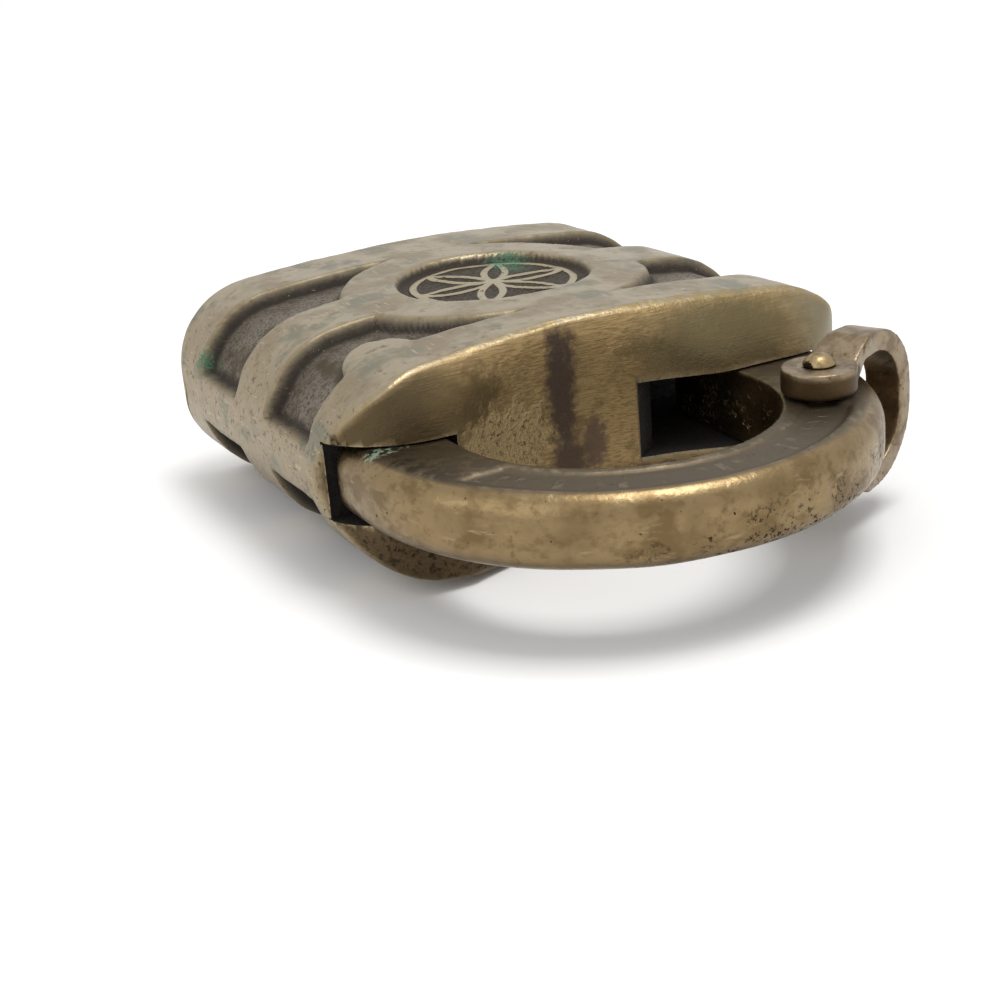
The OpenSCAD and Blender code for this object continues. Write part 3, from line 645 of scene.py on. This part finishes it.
brass.coat(brass.times(filed, lower, brass.fade(crust, 0.48, 0.64)), (58, 48, 36), 0.7)
# Painted shade: a dark patch over the thin wall beside the toe slot at the case's left end.
brass.coat(brass.spot((-34.3, 0.5, 0), (2.2, 4.6, 6.4), 0.5, 0.8), (58, 48, 35), 0.7)
# The worn upper edge of the filed end, tinted gold only on its front and from the middle rightwards: worn
# brass, and in part a painted highlight line.
wear_and_painted_highlight = brass.times(brass.fade(brass.axis("Y"), 6.0, 3.0), brass.fade(brass.axis("X"), -24.0, -10.0))
wear_and_painted_highlight = brass.times(wear_and_painted_highlight, brass.part("worn"), brass.fade(brass.axis("Z"), 2.0, 7.0))
brass.coat(brass.times(wear_and_painted_highlight, patchy), (150, 132, 92), 0.36)
for centre, radii in (
        ((6.4, 35.5, 12.8), (2.6, 3.4, 1.2)), ((-34, 44.5, 5.5), (1.6, 3.5, 1.6)),
        ((-9.5, 22.0, 12.6), (2.2, 2.2, 1.0)), ((24.0, 12.0, 10.5), (2.5, 2.2, 2.0))):
    green = brass.times(brass.spot(centre, radii, 0.9, 1.0), brass.fade(grit, 0.40, 0.56))
    brass.coat(green, (58, 108, 82), 0.85, 0.1)
brass.raise_by(brass.times(grit, brass.calc("ADD", brass.times(recess, 0.16), 0.012)), 1.0)
brass.raise_by(brass.times(strokes, filed), 0.035)
brass.raise_by(brass.times(crust, gold), 0.35)
brass.raise_by(brass.times(soot, belt), -0.12)
brass.raise_by(brass.times(filed, lower, crust), 0.3)
brass.raise_by(brass.grain(1.6, 3.0, 0.6, seed=31), 0.10)
brass.raise_by(brass.grain(0.5, 3.0, 0.6, seed=33), 0.035)
brass.finish()

cavity = Surface(cavity_metal, (26, 21, 16), 0.8, 0.2)
clots = cavity.grain(0.9, 4.0, 0.65, seed=3)
cavity.coat(cavity.fade(clots, 0.45, 0.62), (20, 17, 13), 0.85)
cavity.coat(cavity.patches(0.58, 0.78, 3.0, 3.0, 0.6, seed=6), (52, 45, 34), 0.7)
cavity.raise_by(clots, 0.5)
cavity.finish()

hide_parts("body")
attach(case, "lock")

# The shackle.
# A forged brass bow with flat faces, a rounded outer side and a shallow sunk band on each face that
# is reeded with short worn bars. It turns on a pin at the right and its toe drops into the left slot.
bow_x, bow_y, bow_r = -2.1, -1.8, 31.1
eye_x, eye_y, eye_r = -3.6, -5.6, 18.74
band_x, band_y, band_r, band_half = (bow_x + eye_x) / 2, (bow_y + eye_y) / 2, (bow_r + eye_r) / 2 - 0.6, 2.5


def recast(node, name, cell, smooth):
    """A copy of a CAD piece with an even fine mesh and slightly rounded edges."""
    welded = bmesh.new()
    welded.from_mesh(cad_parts[node].data)
    bmesh.ops.remove_doubles(welded, verts=welded.verts, dist=1e-6)
    mesh = bpy.data.meshes.new(name)
    welded.to_mesh(mesh)
    welded.free()
    mesh.materials.clear()
    obj = bpy.data.objects.new(name, mesh)
    bpy.context.scene.collection.objects.link(obj)
    even = obj.modifiers.new("even", "REMESH")
    even.mode, even.voxel_size, even.adaptivity = "VOXEL", cell * MM, 0.0
    soften = obj.modifiers.new("soften", "SMOOTH")
    soften.factor, soften.iterations = 0.5, smooth
    apply_all(obj)
    for face in obj.data.polygons:
        face.use_smooth = True
    return obj


def dent(obj, size, amount, seed):
    """Moves a mesh's points slightly along their normals, as wear and rough casting do."""
    mesh = obj.data
    places, normals = np.empty(len(mesh.vertices) * 3, "f4"), np.empty(len(mesh.vertices) * 3, "f4")
    mesh.vertices.foreach_get("co", places)
    mesh.vertices.foreach_get("normal", normals)
    at, out = places.reshape(-1, 3) / MM, normals.reshape(-1, 3)
    push = lumps(at[:, 0], at[:, 1], at[:, 2], size, seed) - 1.2
    mesh.vertices.foreach_set("co", ((at + out * (amount * push)[:, None]) * MM).reshape(-1))
    mesh.update()


bow = recast("shackle", "shackle_bow", 0.3, 5)
dent(bow, 3.0, 0.03, 41)
bow.data.materials.append(bpy.data.materials.new("shackle_metal"))
metal = Surface(bow.data.materials[0], (138, 118, 86), 0.28)
flat_top = metal.fade(metal.calc("ABSOLUTE", metal.axis("Z")), 3.9, 4.3)
away_x = metal.calc("SUBTRACT", metal.axis("X"), band_x)
away_y = metal.calc("SUBTRACT", metal.axis("Y"), band_y)
squares = metal.calc("ADD", metal.calc("POWER", away_x, 2.0), metal.calc("POWER", away_y, 2.0))
from_middle = metal.calc("SQRT", squares)
off_band = metal.calc("ABSOLUTE", metal.calc("SUBTRACT", from_middle, band_r))
in_band = metal.times(metal.fade(off_band, band_half + 0.1, band_half - 0.2),
                      metal.fade(metal.axis("Y"), -13.8, -14.4))
metal.coat(metal.patches(0.42, 0.68, 7.0, 4.0, 0.6, seed=2), (120, 101, 71), 0.38)
metal.coat(metal.patches(0.54, 0.76, 1.8, 5.0, 0.65, seed=5), (104, 86, 59), 0.44)
metal.coat(metal.patches(0.48, 0.64, 3.4, 4.0, 0.65, stretch=(1.6, 1.6, 1), seed=37), (112, 93, 64), 0.42)
metal.coat(metal.patches(0.60, 0.72, 0.9, 3.0, 0.6, stretch=(4, 4, 1), seed=7), (146, 127, 94), 0.34)
metal.coat(flat_top, (92, 82, 66), 0.44)
# Painted shadow: the shackle's flat faces darkened towards their left end, by the toe.
metal.coat(metal.times(flat_top, metal.fade(metal.axis("X"), -24.0, -31.0)), (60, 52, 42), 0.5)
metal.coat(metal.times(flat_top, metal.patches(0.48, 0.64, 2.4, 4.0, 0.6, seed=11)), (120, 108, 88), 0.36)
round_at = metal.calc("ARCTAN2", away_y, away_x)
teeth = metal.calc("SINE", metal.times(round_at, 72.0))
bars = metal.times(metal.fade(teeth, -0.1, 0.5), metal.fade(off_band, 1.5, 1.2))
bars = metal.times(bars, metal.patches(0.46, 0.66, 2.6, 3.0, 0.6, seed=13))
metal.coat(in_band, (92, 82, 68), 0.5)
metal.coat(metal.times(in_band, bars), (114, 103, 86), 0.4)
pits = metal.patches(0.54, 0.60, 0.6, 3.0, 0.7, seed=17)
where = metal.times(metal.patches(0.46, 0.58, 4.0, 3.0, 0.6, seed=19), metal.fade(metal.axis("Z"), 3.0, -2.0))
where = metal.times(where, metal.fade(metal.axis("X"), -22.0, -6.0))
pitted = metal.times(pits, where)
metal.coat(pitted, (50, 40, 28), 0.75)
few = metal.patches(0.73, 0.77, 0.7, 2.0, 0.5, seed=23)
metal.coat(few, (58, 46, 32), 0.7)
green = metal.times(metal.spot((-30.5, -1.2, 4.4), (3.4, 1.2, 1.0), 0.8, 0.9),
                    metal.patches(0.44, 0.58, 0.8, 3.0, 0.6, seed=29))
metal.coat(green, (120, 136, 118), 0.8, 0.2)
metal.raise_by(pitted, -0.22)
metal.raise_by(few, -0.15)
metal.raise_by(metal.times(in_band, bars), 0.07)
metal.raise_by(metal.grain(1.3, 4.0, 0.6, seed=31), 0.08)
metal.finish()
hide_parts("shackle")
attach(bow, "bow")

# The chain bail and its rivet.
# A brass strap bent to a loop, with a round end riveted to each face of the shackle. It swings freely
# and takes the last link of a keeper chain.
bail = recast("bail", "chain_bail", 0.2, 14)
dent(bail, 2.0, 0.03, 43)
bail.data.materials.append(bpy.data.materials.new("bail_metal"))
strap = Surface(bail.data.materials[0], (142, 126, 104), 0.36)
strap.coat(strap.patches(0.44, 0.62, 3.0, 4.0, 0.6, seed=2), (112, 96, 72), 0.42)
strap.coat(strap.patches(0.56, 0.70, 1.0, 4.0, 0.65, seed=5), (88, 72, 50), 0.5)
strap.coat(strap.patches(0.68, 0.74, 0.5, 3.0, 0.6, seed=9), (54, 42, 30), 0.7)
rim_z = strap.calc("ABSOLUTE", strap.axis("Z"))
low_side = strap.times(strap.fade(rim_z, 7.4, 6.6), strap.fade(rim_z, 4.4, 4.9))
strap.coat(strap.times(low_side, strap.spot((16.85, -16.4, 0), (5.2, 5.2, 30), 0.1, 0.1)), (82, 66, 46), 0.5)
strap.raise_by(strap.grain(0.8, 4.0, 0.6, seed=31), 0.05)
strap.finish()
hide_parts("bail")
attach(bail, "chain_bail")


def dress(node, material, edge=0.12):
    """Gives a CAD piece its metal and a small rounded edge."""
    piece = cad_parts[node]
    weld = piece.modifiers.new("weld", "WELD")
    weld.merge_threshold = 1e-6
    round_edge = piece.modifiers.new("round_edge", "BEVEL")
    round_edge.width, round_edge.segments, round_edge.limit_method = edge * MM, 2, "ANGLE"
    round_edge.angle_limit = math.radians(32)
    piece.data.materials.clear()
    piece.data.materials.append(material)


rivet = Surface(bpy.data.materials.new("rivet_metal"), (150, 132, 98), 0.36)
rivet.coat(rivet.patches(0.46, 0.62, 1.2, 4.0, 0.6, seed=3), (118, 100, 70), 0.42)
rivet.coat(rivet.spot((15.0, -16.6, 7.9), (0.6, 0.8, 0.6), 0.5, 0.9), (40, 32, 24), 0.8)
rivet.raise_by(rivet.grain(0.7, 3.0, 0.6, seed=7), 0.06)
rivet.finish()
dress("bail_rivet", rivet.material)

# The back and the bottom end.
# The keyhole's swinging cover hangs from a small steel rivet; a flat brass plate held by two rivets
# closes the end that the lock work goes in by, and the hinge pin is driven in from behind.
plate = Surface(bpy.data.materials.new("plate_metal"), (134, 118, 90), 0.42)
plate.coat(plate.patches(0.44, 0.62, 5.0, 4.0, 0.6, seed=3), (104, 90, 66), 0.5)
drawn = plate.grain(0.2, 2.0, 0.6, stretch=(26, 1, 1), seed=5)
plate.coat(plate.fade(drawn, 0.46, 0.66), (150, 134, 104), 0.36)
plate.coat(plate.patches(0.66, 0.74, 0.7, 3.0, 0.6, seed=9), (60, 50, 36), 0.7)
plate.raise_by(drawn, 0.03)
plate.raise_by(plate.grain(1.4, 3.0, 0.6, seed=7), 0.06)
plate.finish()
for node in ("bottom_plate", "keyhole_cover"):
    dress(node, plate.material)
dress("bottom_plate_rivets", rivet.material)
steel = Surface(bpy.data.materials.new("steel_metal"), (118, 112, 102), 0.38)
steel.coat(steel.patches(0.46, 0.62, 2.0, 4.0, 0.6, seed=3), (84, 74, 62), 0.55, 0.8)
steel.coat(steel.patches(0.58, 0.70, 0.7, 3.0, 0.6, seed=5), (92, 58, 34), 0.8, 0.2)
steel.raise_by(steel.grain(0.6, 3.0, 0.6, seed=7), 0.05)
steel.finish()
for node in ("hinge_pin", "cover_rivet"):
    dress(node, steel.material)

# The lock work.
# Two steel plates on pillars hold the levers, their springs and the brass bolt; the keyhole's post
# stands on the front plate. None of it shows unless the bottom plate comes off.
worn_brass = Surface(bpy.data.materials.new("lever_metal"), (158, 138, 96), 0.34)
worn_brass.coat(worn_brass.patches(0.46, 0.62, 1.5, 4.0, 0.6, seed=3), (122, 102, 66), 0.42)
brushed = worn_brass.grain(0.15, 2.0, 0.6, stretch=(20, 1, 1), seed=5)
worn_brass.coat(worn_brass.fade(brushed, 0.50, 0.70), (176, 156, 112), 0.28)
worn_brass.raise_by(brushed, 0.03)
worn_brass.finish()
for node in ["bolt", "spring_block"] + ["lever_%d" % i for i in range(1, 5)]:
    dress(node, worn_brass.material, 0.08)
springs = ["lever_spring_%d" % i for i in range(1, 5)]
for node in ["lock_plate", "cap_plate", "plate_pillars", "lever_post", "key_post"] + springs:
    dress(node, steel.material, 0.05)
